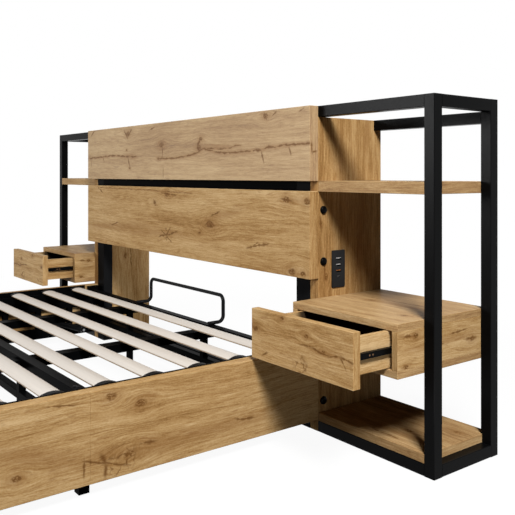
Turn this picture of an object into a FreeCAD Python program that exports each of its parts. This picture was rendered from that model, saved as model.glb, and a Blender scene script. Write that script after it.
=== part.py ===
"""Lift-up storage bed whose headboard carries two open nightstands with drawers.

Millimetres, +Z up, +Y towards the head. The model is built with y = 0 on the front plane of the nightstand
posts, and each piece is moved to the origin at the centre of the bed's footprint when it is written.
"""
import FreeCAD
import Part
import math
import os

V = FreeCAD.Vector

# Headboard and side panels
HEAD_WIDTH = 1448.0
HEAD_THICK = 31.0
UPPER_PANEL_HEIGHT = 208.0
PANEL_GAP = 28.0
LOWER_PANEL_HEIGHT = 242.0
SIDE_PANEL_THICK = 33.0
EDGE_BREAK = 0.8
OVERCUT = 1.0

# Nightstand frames of square tube
POST_HEIGHT = 900.0
STAND_WIDTH = 397.0
STAND_DEPTH = 252.0
TUBE = 30.0
TUBE_WALL = 1.5
TUBE_CORNER = 1.2
UPPER_SHELF_THICK = 30.0
LOWER_SHELF_THICK = 22.0
SHELF_REST = 4.0

# Head posts and the tie rails between them
HEAD_POST_WIDE = 60.0
HEAD_POST_DEEP = 40.0
TIE_HIGH = 40.0
TIE_DEEP = 20.0
LOWER_TIE_BOTTOM = 60.0

# Drawer cases, drawers and their runners
CASE_BOARD = 18.0
CASE_BOTTOM = 243.0
CASE_HEIGHT = 126.0
CASE_REACH = 92.0
CASE_BACK_THICK = 5.0
DRAWER_FRONT_THICK = 22.0
DRAWER_REVEAL = 2.0
DRAWER_BOARD = 12.0
DRAWER_FLOOR_THICK = 5.0
DRAWER_FLOOR_LIFT = 8.0
DRAWER_LENGTH = 300.0
DRAWER_CLEARANCE = 2.0
DRAWER_PULLED_OUT = 116.0
RUNNER_GAP = 12.0
RUNNER_HIGH = 14.0
RUNNER_SHEET = 1.5
RUNNER_CLEARANCE = 0.4
RUNNER_SETBACK = 12.0

# Square-necked coach bolts through the side panels to the head posts
BOLT_HEAD_RADIUS = 10.0
BOLT_HEAD_RISE = 3.5
BOLT_NECK = 8.0
BOLT_CLEARANCE = 0.2
BOLT_INSET = 18.5
BOLT_HEIGHTS = (83.0, 469.0, 612.0)

# Charger module in the right side panel
CHARGER_WIDE = 50.0
CHARGER_HIGH = 105.0
CHARGER_BOTTOM = 392.0
CHARGER_INSET = 50.0
CHARGER_BEZEL = 3.0
CHARGER_FLANGE = 4.0
CHARGER_BODY = 22.0
CHARGER_ROUND = 4.0
CHARGER_FIT = 0.3
SOCKET_WIDE = 18.0
SOCKET_HIGH = 6.5
SOCKET_SMALL_WIDE = 11.0
SOCKET_SMALL_HIGH = 4.0
SOCKET_DEPTH = 8.0
SOCKET_TONGUE = 2.0
SOCKET_RISES = (80.5, 63.0, 46.0)
SOCKET_SMALL_RISE = 31.0

# Bed side rails and footboard
RAIL_SECTION = 672.0
RAIL_SECTIONS = 3
RAIL_THICK = 33.0
RAIL_HEIGHT = 202.0
RAIL_BOTTOM = 32.0
FOOT_THICK = 33.0

# Steel base inside the rails
LADDER_WIDE = 20.0
LADDER_LOW_HIGH = 40.0
LADDER_LOW_BOTTOM = 36.0
LADDER_TOP_HIGH = 36.0
LADDER_TOP_BOTTOM = 150.0
LADDER_BAYS = 15
STRUT_POST = 20.0
LEDGE_SHEET = 4.0
LEDGE_WIDE = 30.0
LEDGE_STANDS_PROUD = 1.5
LEDGE_SETBACK = 62.0
LEG = 25.0
CROSS_BAR_HIGH = 22.0
CROSS_BAR_DEEP = 22.0
CROSS_BAR_BOTTOM = 101.5
HEAD_BAR_SETBACK = 81.0
SUPPORT = 20.0
SUPPORT_PAD = 3.0
REST_PAD = 3.0
REST_PAD_LONG = 40.0
REST_PADS_PER_SIDE = 4
REST_GAP = 0.3

# Slatted platform
DECK_TUBE = 25.0
DECK_WALL = 1.5
DECK_SIDE_CLEARANCE = 7.0
DECK_HEAD_CLEARANCE = 20.0
DECK_FOOT_CLEARANCE = 8.0
JOINT_TUBE = 30.0
BEAM_WIDE = 40.0
BEAM_HIGH = 25.0
BEAM_DROP = 7.0
BEAM_INNER = 236.5
SLAT_WIDE = 50.0
SLAT_THICK = 11.0
SLAT_EDGE = 5.0
SLAT_BEVEL = 2.0
SLAT_PITCH = 125.7
FIRST_SLAT = 106.0
JOINT_TO_SLAT = 63.0
CAP_LONG = 18.0
CAP_WALL = 2.0
CAP_FLOOR = 3.5
CAP_FIT = 0.3
CAP_GRIP = 12.0

# Mattress retainer of bent rod
LOOP_WIDE = 487.0
LOOP_RISE = 97.0
LOOP_ROD = 12.0
LOOP_FLATS = 8
LOOP_BEND = 20.0
LOOP_BEHIND = 14.0
LOOP_FOOT_OVERLAP = 25.0

# Lift hinge and gas struts
HINGE_PIN_RADIUS = 6.0
HINGE_CLEARANCE = 0.1
HINGE_PIN_REACH = 14.0
HINGE_PLATE = 4.0
HINGE_PLATE_HIGH = 44.0
HINGE_PLATE_LIFT = 1.0
HINGE_PLATE_EDGE = 20.0
HINGE_FLANGE = 46.0
STRUT_INSET = 31.0
STRUT_BASE_Y = -90.0
STRUT_STUD_Y = -460.0
STRUT_STUD_DROP = 7.5
CYLINDER_RADIUS = 11.0
CYLINDER_LONG = 285.0
CYLINDER_START = 16.0
CYLINDER_NECK_RADIUS = 5.5
ROD_RADIUS = 5.0
ROD_CLEARANCE = 0.3
ROD_HIDDEN = 140.0
EYE_RADIUS = 11.0
EYE_WIDE = 12.0
EYE_SIDE_GAP = 0.3
STUD_RADIUS = 5.0
STUD_SHOULDER = 16.0
PLATE_GAP = 0.4
BEARING_PLATE = 4.0
BEARING_PLATE_LONG = 60.0

# Places that follow from the sizes above
HALF_HEAD = HEAD_WIDTH / 2
STAND_OUTER = HALF_HEAD + STAND_WIDTH
STAND_INNER = STAND_OUTER - TUBE
PANEL_INNER = HALF_HEAD - SIDE_PANEL_THICK
RAIL_INNER = HALF_HEAD - RAIL_THICK
RAIL_TOP = RAIL_BOTTOM + RAIL_HEIGHT
RAIL_LENGTH = RAIL_SECTION * RAIL_SECTIONS
HEAD_Y = (RAIL_LENGTH + FOOT_THICK - STAND_DEPTH) / 2
SIDE_PANEL_TOP = POST_HEIGHT - TUBE
UPPER_PANEL_BOTTOM = POST_HEIGHT - UPPER_PANEL_HEIGHT
LOWER_PANEL_TOP = UPPER_PANEL_BOTTOM - PANEL_GAP
GAP_MIDDLE = UPPER_PANEL_BOTTOM - PANEL_GAP / 2
HEAD_POST_INNER = PANEL_INNER - HEAD_POST_WIDE
LADDER_INNER = RAIL_INNER - LADDER_WIDE
LADDER_TOP = LADDER_TOP_BOTTOM + LADDER_TOP_HIGH
LEDGE_TOP = LADDER_TOP + LEDGE_SHEET
DECK_BOTTOM = LEDGE_TOP + REST_PAD
DECK_TOP = DECK_BOTTOM + DECK_TUBE
DECK_OUTER = RAIL_INNER - LEDGE_SHEET - DECK_SIDE_CLEARANCE
DECK_INNER = DECK_OUTER - DECK_TUBE
DECK_HEAD = -DECK_HEAD_CLEARANCE
DECK_FOOT = -RAIL_LENGTH + DECK_FOOT_CLEARANCE
SLAT_BOTTOM = DECK_TOP + CAP_FLOOR
BEAM_TOP = DECK_TOP - BEAM_DROP
BEAM_BOTTOM = BEAM_TOP - BEAM_HIGH
BEAM_MIDDLE = BEAM_INNER + BEAM_WIDE / 2
HINGE_Y = DECK_HEAD - DECK_TUBE / 2
HINGE_Z = DECK_BOTTOM + DECK_TUBE / 2
STRUT_X = DECK_INNER - STRUT_INSET / 2
STRUT_BASE = V(STRUT_X, STRUT_BASE_Y, LADDER_LOW_BOTTOM + LADDER_LOW_HIGH / 2)
STRUT_STUD = V(STRUT_X, STRUT_STUD_Y, HINGE_Z - STRUT_STUD_DROP)
SEAMS = [-RAIL_SECTION * number for number in range(1, RAIL_SECTIONS)]
SLATS_PER_SECTION = int((RAIL_SECTION - FIRST_SLAT - JOINT_TO_SLAT) / SLAT_PITCH) + 1


def block(x, y, z):
    """A box between the low and high values given for each axis."""
    return Part.makeBox(x[1] - x[0], y[1] - y[0], z[1] - z[0], V(x[0], y[0], z[0]))


def board(x, y, z):
    """A panel with its edges just broken."""
    plain = block(x, y, z)
    return plain.makeChamfer(EDGE_BREAK, plain.Edges)


def long_edges(shape, axis):
    """The straight edges of a box that run along one axis."""
    return [edge for edge in shape.Edges if abs(edge.tangentAt(edge.FirstParameter).dot(axis)) > 0.99]


def tube(x, y, z, axis, wall, corner=0.0, closed_low=False, closed_high=False):
    """A rectangular tube along an axis (0, 1 or 2), open at its ends unless told otherwise."""
    spans = [x, y, z]
    direction = [V(1, 0, 0), V(0, 1, 0), V(0, 0, 1)][axis]
    outer = block(*spans)
    if corner:
        outer = outer.makeChamfer(corner, long_edges(outer, direction))
    hollow = [(low + wall, high - wall) for low, high in spans]
    low, high = spans[axis]
    hollow[axis] = (low + wall if closed_low else low - wall, high - wall if closed_high else high + wall)
    return outer.cut(block(*hollow))


def rod(start, end, radius):
    """A round bar between two points."""
    return Part.makeCylinder(radius, (end - start).Length, start, end - start)


def mirrored(shapes):
    """The same pieces on the left of the bed."""
    return [shape.mirror(V(0, 0, 0), V(1, 0, 0)) for shape in shapes]


def on_both_sides(shapes):
    return shapes + mirrored(shapes)


def write(name, shapes):
    """One file per node, in the frame whose origin is the centre of the footprint."""
    group = shapes[0] if len(shapes) == 1 else Part.makeCompound(shapes)
    group = group.copy()
    group.translate(V(0, HEAD_Y, 0))
    group.exportStep(os.path.join("parts", name + ".step"))


def write_pair(name, shapes):
    write(name + "_right", shapes)
    write(name + "_left", mirrored(shapes))


def headboard():
    across = (-HALF_HEAD, HALF_HEAD)
    thick = (-HEAD_THICK, 0)
    write("head_panel_upper", [board(across, thick, (UPPER_PANEL_BOTTOM, POST_HEIGHT))])
    lower = (LOWER_PANEL_TOP - LOWER_PANEL_HEIGHT, LOWER_PANEL_TOP)
    write("head_panel_lower", [board(across, thick, lower)])
    between = (-HEAD_POST_INNER, HEAD_POST_INNER)
    depth = (0, TIE_DEEP)
    heights = [(GAP_MIDDLE - TIE_HIGH / 2, GAP_MIDDLE + TIE_HIGH / 2)]
    heights.append((LOWER_TIE_BOTTOM, LOWER_TIE_BOTTOM + TIE_HIGH))
    write("head_tie_rails", [tube(between, depth, height, 0, TUBE_WALL, TUBE_CORNER) for height in heights])


def bolt_places():
    return [V(HALF_HEAD, BOLT_INSET, height) for height in BOLT_HEIGHTS]


def bolt_neck(place, clearance):
    """The square neck of a bolt, from the side panel's outer face to the head post behind it."""
    half = BOLT_NECK / 2 + clearance
    return block((place.x - SIDE_PANEL_THICK, place.x), (place.y - half, place.y + half),
                 (place.z - half, place.z + half))


def charger_span(shrink):
    """The charger's outline on the side panel, drawn in by an amount: its span along Y and along Z."""
    along = (CHARGER_INSET + shrink, CHARGER_INSET + CHARGER_WIDE - shrink)
    up = (CHARGER_BOTTOM + shrink, CHARGER_BOTTOM + CHARGER_HIGH - shrink)
    return along, up


def side_panels():
    plain = board((PANEL_INNER, HALF_HEAD), (0, STAND_DEPTH), (0, SIDE_PANEL_TOP))
    for place in bolt_places():
        plain = plain.cut(bolt_neck(place, BOLT_CLEARANCE))
    write("side_panel_left", mirrored([plain]))
    along, up = charger_span(CHARGER_FLANGE - CHARGER_FIT)
    pocket = block((HALF_HEAD - CHARGER_BODY - CHARGER_FIT, HALF_HEAD + OVERCUT), along, up)
    write("side_panel_right", [plain.cut(pocket)])
    post = tube((HEAD_POST_INNER, PANEL_INNER), (0, HEAD_POST_DEEP), (0, SIDE_PANEL_TOP), 2,
                TUBE_WALL, TUBE_CORNER, closed_high=True)
    write_pair("head_post", [post])


def panel_bolt(place):
    """A domed head on the side panel, with the bolt's neck through the panel to the post."""
    sphere_radius = (BOLT_HEAD_RADIUS ** 2 + BOLT_HEAD_RISE ** 2) / (2 * BOLT_HEAD_RISE)
    ball = Part.makeSphere(sphere_radius, place - V(sphere_radius - BOLT_HEAD_RISE, 0, 0))
    head = rod(place, place + V(BOLT_HEAD_RISE, 0, 0), BOLT_HEAD_RADIUS).common(ball)
    return head.fuse(bolt_neck(place, 0))


def rounded_plate(x, y, z, radius):
    """A plate square to X with rounded corners."""
    plain = block(x, y, z)
    return plain.makeFillet(radius, long_edges(plain, V(1, 0, 0)))


def socket_spans():
    """Each socket's span along Y and along Z."""
    middle = CHARGER_INSET + CHARGER_WIDE / 2
    sizes = [(rise, SOCKET_WIDE, SOCKET_HIGH) for rise in SOCKET_RISES]
    sizes.append((SOCKET_SMALL_RISE, SOCKET_SMALL_WIDE, SOCKET_SMALL_HIGH))
    spans = []
    for rise, wide, high in sizes:
        centre = CHARGER_BOTTOM + rise
        spans.append(((middle - wide / 2, middle + wide / 2), (centre - high / 2, centre + high / 2)))
    return spans


def charger():
    face = HALF_HEAD + CHARGER_BEZEL
    bezel = rounded_plate((HALF_HEAD, face), *charger_span(0), CHARGER_ROUND)
    housing = bezel.fuse(block((HALF_HEAD - CHARGER_BODY, HALF_HEAD), *charger_span(CHARGER_FLANGE)))
    tongues = []
    for along, up in socket_spans():
        housing = housing.cut(block((face - SOCKET_DEPTH, face + OVERCUT), along, up))
        low, high = up
        tongue = (high - SOCKET_TONGUE, high)
        tongues.append(block((face - SOCKET_DEPTH, face - EDGE_BREAK), along, tongue))
    write("charger_housing", [housing])
    write("charger_socket_tongues", tongues)


def nightstand_frame():
    outer = (STAND_INNER, STAND_OUTER)
    front = (0, TUBE)
    rear = (STAND_DEPTH - TUBE, STAND_DEPTH)
    full = (0, POST_HEIGHT)
    posts = []
    for depth in (front, rear):
        posts.append(tube(outer, depth, full, 2, TUBE_WALL, TUBE_CORNER, closed_high=True))
    write_pair("stand_posts", posts)
    top = (POST_HEIGHT - TUBE, POST_HEIGHT)
    bottom = (0, TUBE)
    lower_top = (top[0] - TUBE, top[0])
    between = (TUBE, STAND_DEPTH - TUBE)
    rails = [tube(outer, between, height, 1, TUBE_WALL, TUBE_CORNER) for height in (top, bottom)]
    inward = (HALF_HEAD, STAND_INNER)
    over_post = (HEAD_POST_INNER, STAND_INNER)
    rails.append(tube(over_post, front, top, 0, TUBE_WALL, TUBE_CORNER, closed_low=True))
    for depth, height in ((rear, lower_top), (front, bottom), (rear, bottom)):
        rails.append(tube(inward, depth, height, 0, TUBE_WALL, TUBE_CORNER))
    write_pair("stand_rails", rails)
    depth = (0, STAND_DEPTH)
    half_shelf = UPPER_SHELF_THICK / 2
    write_pair("upper_shelf", [board(inward, depth, (GAP_MIDDLE - half_shelf, GAP_MIDDLE + half_shelf))])
    over_rail = (HALF_HEAD, STAND_INNER + SHELF_REST)
    shelf = board(over_rail, depth, (TUBE, TUBE + LOWER_SHELF_THICK))
    for post in (front, rear):
        shelf = shelf.cut(block(outer, post, full))
    write_pair("lower_shelf", [shelf])


def drawer_case():
    across = (HALF_HEAD, STAND_INNER)
    depth = (-CASE_REACH, STAND_DEPTH)
    low = CASE_BOTTOM
    high = CASE_BOTTOM + CASE_HEIGHT
    inside = (low + CASE_BOARD, high - CASE_BOARD)
    panels = [board(across, depth, (high - CASE_BOARD, high)), board(across, depth, (low, low + CASE_BOARD))]
    write_pair("case_panels", panels)
    sides = [(across[0], across[0] + CASE_BOARD), (across[1] - CASE_BOARD, across[1])]
    write_pair("case_sides", [board(side, depth, inside) for side in sides])
    back = (STAND_DEPTH - CASE_BACK_THICK, STAND_DEPTH)
    write_pair("case_back", [block((sides[0][1], sides[1][0]), back, inside)])


def runner_pair(member):
    """A runner on each side of the drawer, from the profile made at the case's inner wall."""
    middle = (HALF_HEAD + STAND_INNER) / 2
    return [member, member.mirror(V(middle, 0, 0), V(1, 0, 0))]


def drawer():
    wall = HALF_HEAD + CASE_BOARD
    far_wall = STAND_INNER - CASE_BOARD
    low = CASE_BOTTOM + CASE_BOARD + DRAWER_CLEARANCE
    high = CASE_BOTTOM + CASE_HEIGHT - CASE_BOARD - DRAWER_CLEARANCE
    front_back = -CASE_REACH - DRAWER_REVEAL - DRAWER_PULLED_OUT
    front = board((HALF_HEAD + DRAWER_REVEAL, STAND_INNER - DRAWER_REVEAL),
                  (front_back - DRAWER_FRONT_THICK, front_back), (CASE_BOTTOM, CASE_BOTTOM + CASE_HEIGHT))
    write_pair("drawer_front", [front])
    outside = (wall + RUNNER_GAP, far_wall - RUNNER_GAP)
    inside = (outside[0] + DRAWER_BOARD, outside[1] - DRAWER_BOARD)
    length = (front_back, front_back + DRAWER_LENGTH)
    floor = (low + DRAWER_FLOOR_LIFT, low + DRAWER_FLOOR_LIFT + DRAWER_FLOOR_THICK)
    back = (length[1] - DRAWER_BOARD, length[1])
    walls = [board(side, length, (low, high)) for side in ((outside[0], inside[0]), (inside[1], outside[1]))]
    walls.append(block(inside, back, (low, high)))
    write_pair("drawer_walls", walls)
    write_pair("drawer_floor", [block(inside, (front_back, back[0]), floor)])

    middle = (low + high) / 2
    member_height = (middle - RUNNER_HIGH / 2, middle + RUNNER_HIGH / 2)
    member = block((wall + RUNNER_SHEET + RUNNER_CLEARANCE, outside[0]),
                   (length[0] + RUNNER_SETBACK, length[1]), member_height)
    write_pair("drawer_runners", runner_pair(member))
    slack = RUNNER_CLEARANCE + RUNNER_SHEET
    channel_depth = (-CASE_REACH + RUNNER_SETBACK, -CASE_REACH + RUNNER_SETBACK + DRAWER_LENGTH)
    channel = block((wall, outside[0] - DRAWER_CLEARANCE), channel_depth,
                    (member_height[0] - slack, member_height[1] + slack))
    groove_depth = (channel_depth[0] - OVERCUT, channel_depth[1] + OVERCUT)
    groove = block((wall + RUNNER_SHEET, outside[0]), groove_depth,
                   (member_height[0] - RUNNER_CLEARANCE, member_height[1] + RUNNER_CLEARANCE))
    write_pair("case_runners", runner_pair(channel.cut(groove)))


def bed_rails():
    height = (RAIL_BOTTOM, RAIL_TOP)
    sections = []
    for number in range(RAIL_SECTIONS):
        near = -RAIL_SECTION * number
        sections.append(board((RAIL_INNER, HALF_HEAD), (near - RAIL_SECTION, near), height))
    write_pair("side_rail", sections)
    foot = (-RAIL_LENGTH - FOOT_THICK, -RAIL_LENGTH)
    write("footboard", [board((-HALF_HEAD, HALF_HEAD), foot, height)])


def base_frame():
    across = (LADDER_INNER, RAIL_INNER)
    length = (-RAIL_LENGTH, 0)
    low = (LADDER_LOW_BOTTOM, LADDER_LOW_BOTTOM + LADDER_LOW_HIGH)
    ladder = [tube(across, length, low, 1, TUBE_WALL)]
    ladder.append(tube(across, length, (LADDER_TOP_BOTTOM, LADDER_TOP), 1, TUBE_WALL))
    bay = RAIL_LENGTH / LADDER_BAYS
    fronts = [-bay * number - STRUT_POST / 2 for number in range(1, LADDER_BAYS)]
    for front in fronts + [-HEAD_BAR_SETBACK, -RAIL_LENGTH]:
        ladder.append(tube(across, (front, front + STRUT_POST), (low[1], LADDER_TOP_BOTTOM), 2, TUBE_WALL))
    write_pair("base_ladder", ladder)

    ledge_length = (-RAIL_LENGTH, -LEDGE_SETBACK)
    upright = (RAIL_INNER - LEDGE_SHEET, RAIL_INNER)
    ledge = block((RAIL_INNER - LEDGE_WIDE, RAIL_INNER), ledge_length, (LADDER_TOP, LEDGE_TOP))
    ledge = ledge.fuse(block(upright, ledge_length, (LEDGE_TOP, RAIL_TOP + LEDGE_STANDS_PROUD)))
    write("platform_ledges", on_both_sides([ledge.removeSplitter()]))

    pads = []
    spread = (RAIL_LENGTH - 2 * RAIL_SECTION / REST_PADS_PER_SIDE) / (REST_PADS_PER_SIDE - 1)
    for number in range(REST_PADS_PER_SIDE):
        middle = -RAIL_SECTION / REST_PADS_PER_SIDE - spread * number
        span = (middle - REST_PAD_LONG / 2, middle + REST_PAD_LONG / 2)
        pads.append(block((RAIL_INNER - LEDGE_WIDE, DECK_OUTER), span, (LEDGE_TOP, DECK_BOTTOM - REST_GAP)))

    legs = []
    for middle in SEAMS + [-RAIL_LENGTH + LEG / 2]:
        span = (middle - LEG / 2, middle + LEG / 2)
        legs.append(tube((RAIL_INNER - LEG, RAIL_INNER), span, (0, LADDER_LOW_BOTTOM), 2, TUBE_WALL))
    write("base_legs", on_both_sides(legs))

    middle_bars = []
    side_bars = []
    supports = []
    width = (BEAM_MIDDLE - SUPPORT / 2, BEAM_MIDDLE + SUPPORT / 2)
    bar_height = (CROSS_BAR_BOTTOM, CROSS_BAR_BOTTOM + CROSS_BAR_HIGH)
    rows = [(-HEAD_BAR_SETBACK, BEAM_BOTTOM)]
    rows += [(front, DECK_BOTTOM) for front in SEAMS + [-RAIL_LENGTH]]
    for front, carried in rows:
        depth = (front, front + CROSS_BAR_DEEP)
        middle_bars.append(tube((-width[0], width[0]), depth, bar_height, 0, TUBE_WALL, TUBE_CORNER))
        side_bars.append(tube((width[1], LADDER_INNER), depth, bar_height, 0, TUBE_WALL, TUBE_CORNER))
        span = (front, front + SUPPORT)
        pad_top = carried - REST_GAP
        column = (0, pad_top - SUPPORT_PAD)
        supports.append(tube(width, span, column, 2, TUBE_WALL, TUBE_CORNER, closed_high=True))
        pads.append(block(width, span, (column[1], pad_top)))
    write("base_cross_bars", middle_bars + on_both_sides(side_bars))
    write("centre_supports", on_both_sides(supports))
    write("rest_pads", on_both_sides(pads))


def platform():
    """Three sections between cross tubes: one at the head, and one at the foot of each section."""
    sides = []
    beams = []
    height = (DECK_BOTTOM, DECK_TOP)
    across = (-DECK_INNER, DECK_INNER)
    hole_start = V(DECK_OUTER - DECK_TUBE / 2, HINGE_Y, HINGE_Z)
    hole_end = V(DECK_OUTER + OVERCUT, HINGE_Y, HINGE_Z)
    pin_hole = rod(hole_start, hole_end, HINGE_PIN_RADIUS + HINGE_CLEARANCE)
    head_tube = (DECK_HEAD - DECK_TUBE, DECK_HEAD)
    crosses = [tube(across, head_tube, height, 0, DECK_WALL, TUBE_CORNER)]
    ends = [DECK_HEAD] + SEAMS + [DECK_FOOT]
    for head_end, foot_end in zip(ends, ends[1:]):
        first = head_end == DECK_HEAD
        last = foot_end == DECK_FOOT
        side = tube((DECK_INNER, DECK_OUTER), (foot_end, head_end), height, 1, DECK_WALL,
                    closed_low=last, closed_high=first)
        sides.append(side.cut(pin_hole) if first else side)
        foot_tube = (foot_end, foot_end + (DECK_TUBE if last else JOINT_TUBE))
        crosses.append(tube(across, foot_tube, height, 0, DECK_WALL, TUBE_CORNER))
        span = (foot_tube[1], head_tube[0] if first else head_end)
        beams.append(tube((BEAM_INNER, BEAM_INNER + BEAM_WIDE), span, (BEAM_BOTTOM, BEAM_TOP), 1, DECK_WALL))
    write("platform_side_tubes", on_both_sides(sides))
    write("platform_cross_tubes", crosses)
    write("platform_beams", on_both_sides(beams))


def slat_middles():
    middles = []
    for number in range(RAIL_SECTIONS):
        start = FIRST_SLAT if number == 0 else RAIL_SECTION * number + JOINT_TO_SLAT
        middles += [-start - SLAT_PITCH * place for place in range(SLATS_PER_SECTION)]
    return middles


def slat_face(x, grow=0.0, below=0.0):
    """The crowned section of a slat, square to X and centred on y = 0, grown all round and below."""
    half = SLAT_WIDE / 2 + grow
    bottom = -below
    edge = SLAT_EDGE + grow
    corners = [V(x, -half, edge), V(x, -half, bottom + SLAT_BEVEL), V(x, -half + SLAT_BEVEL, bottom),
               V(x, half - SLAT_BEVEL, bottom), V(x, half, bottom + SLAT_BEVEL), V(x, half, edge)]
    crown = Part.Arc(corners[-1], V(x, 0, SLAT_THICK + grow), corners[0])
    return Part.Face(Part.Wire(Part.makePolygon(corners).Edges + [crown.toShape()]))


def slats():
    """Crowned slats, and the moulded caps that seat their ends on the side tubes."""
    cap_start = DECK_OUTER - CAP_LONG
    slat_end = cap_start + CAP_GRIP
    bars = []
    caps = []
    slat = slat_face(-slat_end).extrude(V(2 * slat_end, 0, 0))
    cap = slat_face(cap_start, CAP_WALL, CAP_FLOOR).extrude(V(CAP_LONG, 0, 0))
    pocket = slat_face(cap_start - OVERCUT, CAP_FIT, CAP_FIT).extrude(V(OVERCUT + CAP_GRIP + CAP_FIT, 0, 0))
    cap = cap.cut(pocket)
    for middle in slat_middles():
        place = V(0, middle, SLAT_BOTTOM)
        for piece, group in ((slat, bars), (cap, caps)):
            copy = piece.copy()
            copy.translate(place)
            group.append(copy)
    write("slats", bars)
    write("slat_caps", on_both_sides(caps))


def retainer():
    """A rod bent out of the plane at its feet and round at its top corners."""
    half = LOOP_WIDE / 2
    low = DECK_TOP + LOOP_ROD / 2
    top = DECK_TOP + LOOP_RISE - LOOP_ROD / 2
    start = DECK_HEAD - LOOP_FOOT_OVERLAP
    bend = LOOP_BEND
    inset = bend * (1 - math.sqrt(0.5))
    foot = [V(half, start, low), V(half, LOOP_BEHIND - bend, low)]
    rise = [V(half, LOOP_BEHIND, low + bend), V(half, LOOP_BEHIND, top - bend)]
    cross = [V(half - bend, LOOP_BEHIND, top), V(bend - half, LOOP_BEHIND, top)]
    fall = [V(-half, LOOP_BEHIND, top - bend), V(-half, LOOP_BEHIND, low + bend)]
    far_foot = [V(-half, LOOP_BEHIND - bend, low), V(-half, start, low)]
    foot_bend = V(half, LOOP_BEHIND - inset, low + inset)
    top_bend = V(half - inset, LOOP_BEHIND, top - inset)
    far_top_bend = V(inset - half, LOOP_BEHIND, top - inset)
    far_foot_bend = V(-half, LOOP_BEHIND - inset, low + inset)
    edges = [Part.LineSegment(*foot), Part.Arc(foot[1], foot_bend, rise[0]), Part.LineSegment(*rise),
             Part.Arc(rise[1], top_bend, cross[0]), Part.LineSegment(*cross),
             Part.Arc(cross[1], far_top_bend, fall[0]), Part.LineSegment(*fall),
             Part.Arc(fall[1], far_foot_bend, far_foot[0]), Part.LineSegment(*far_foot)]
    path = Part.Wire([edge.toShape() for edge in edges])
    flats = [2 * math.pi * number / LOOP_FLATS for number in range(LOOP_FLATS + 1)]
    ring = [V(math.cos(angle), 0, math.sin(angle)) * (LOOP_ROD / 2) + foot[0] for angle in flats]
    section = Part.makePolygon(ring)
    write("mattress_retainer", [path.makePipeShell([section], True, True)])


def lift_hinge():
    """Brackets on the head posts, and the pins that the platform turns on."""
    plate_outer = RAIL_INNER - LEDGE_SHEET
    plate_inner = plate_outer - HINGE_PLATE
    bottom = LADDER_TOP + HINGE_PLATE_LIFT
    height = (bottom, bottom + HINGE_PLATE_HIGH)
    plate = block((plate_inner, plate_outer), (HINGE_Y - HINGE_PLATE_EDGE, 0), height)
    flange = block((plate_outer - HINGE_FLANGE, plate_outer), (-HINGE_PLATE, 0), height)
    write("hinge_brackets", on_both_sides([plate.fuse(flange).removeSplitter()]))
    root = V(plate_inner, HINGE_Y, HINGE_Z)
    write("hinge_pins", on_both_sides([rod(root - V(HINGE_PIN_REACH, 0, 0), root, HINGE_PIN_RADIUS)]))


def strut_direction():
    direction = STRUT_STUD - STRUT_BASE
    return direction / direction.Length


def strut_eye(centre, outer_face):
    """A round eye on the strut's pivot, from its inner side out to a given place along X."""
    return rod(centre - V(EYE_WIDE / 2, 0, 0), V(outer_face, centre.y, centre.z), EYE_RADIUS)


def gas_strut():
    along = strut_direction()
    length = (STRUT_STUD - STRUT_BASE).Length
    mouth = STRUT_BASE + along * (CYLINDER_START + CYLINDER_LONG)
    body = rod(STRUT_BASE + along * CYLINDER_START, mouth, CYLINDER_RADIUS)
    neck = rod(STRUT_BASE, STRUT_BASE + along * (CYLINDER_START + OVERCUT), CYLINDER_NECK_RADIUS)
    rod_start = mouth - along * ROD_HIDDEN
    bore = rod(rod_start - along * ROD_RADIUS, mouth + along * OVERCUT, ROD_RADIUS + ROD_CLEARANCE)
    eye_face = STRUT_BASE.x + EYE_WIDE / 2
    bare = body.fuse(neck).fuse(strut_eye(STRUT_BASE, eye_face)).cut(bore)
    through = V(EYE_WIDE, 0, 0)
    cylinder = bare.cut(rod(STRUT_BASE - through, STRUT_BASE + through, STUD_RADIUS + HINGE_CLEARANCE))
    write_pair("strut_cylinder", [cylinder])

    piston_rod = rod(rod_start, STRUT_BASE + along * length, ROD_RADIUS)
    rod_eye = strut_eye(STRUT_STUD, DECK_INNER - BEARING_PLATE - PLATE_GAP)
    write_pair("strut_rod", [piston_rod.fuse(rod_eye)])

    root = V(LADDER_INNER, STRUT_BASE.y, STRUT_BASE.z)
    pivot = rod(STRUT_BASE - V(EYE_WIDE / 2, 0, 0), root, STUD_RADIUS)
    half = STUD_SHOULDER / 2
    shoulder = block((eye_face + EYE_SIDE_GAP, root.x), (root.y - half, root.y + half),
                     (root.z - half, root.z + half))
    write("strut_pivot_studs", on_both_sides([pivot.fuse(shoulder)]))
    plate = block((DECK_INNER - BEARING_PLATE, DECK_INNER),
                  (STRUT_STUD.y - BEARING_PLATE_LONG / 2, STRUT_STUD.y + BEARING_PLATE_LONG / 2),
                  (DECK_BOTTOM, DECK_TOP))
    write("strut_bearing_plates", on_both_sides([plate]))


def main():
    os.makedirs("parts", exist_ok=True)
    headboard()
    side_panels()
    write("panel_bolts", on_both_sides([panel_bolt(place) for place in bolt_places()]))
    charger()
    nightstand_frame()
    drawer_case()
    drawer()
    bed_rails()
    base_frame()
    platform()
    slats()
    retainer()
    lift_hinge()
    gas_strut()


main()
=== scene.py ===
import math

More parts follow.
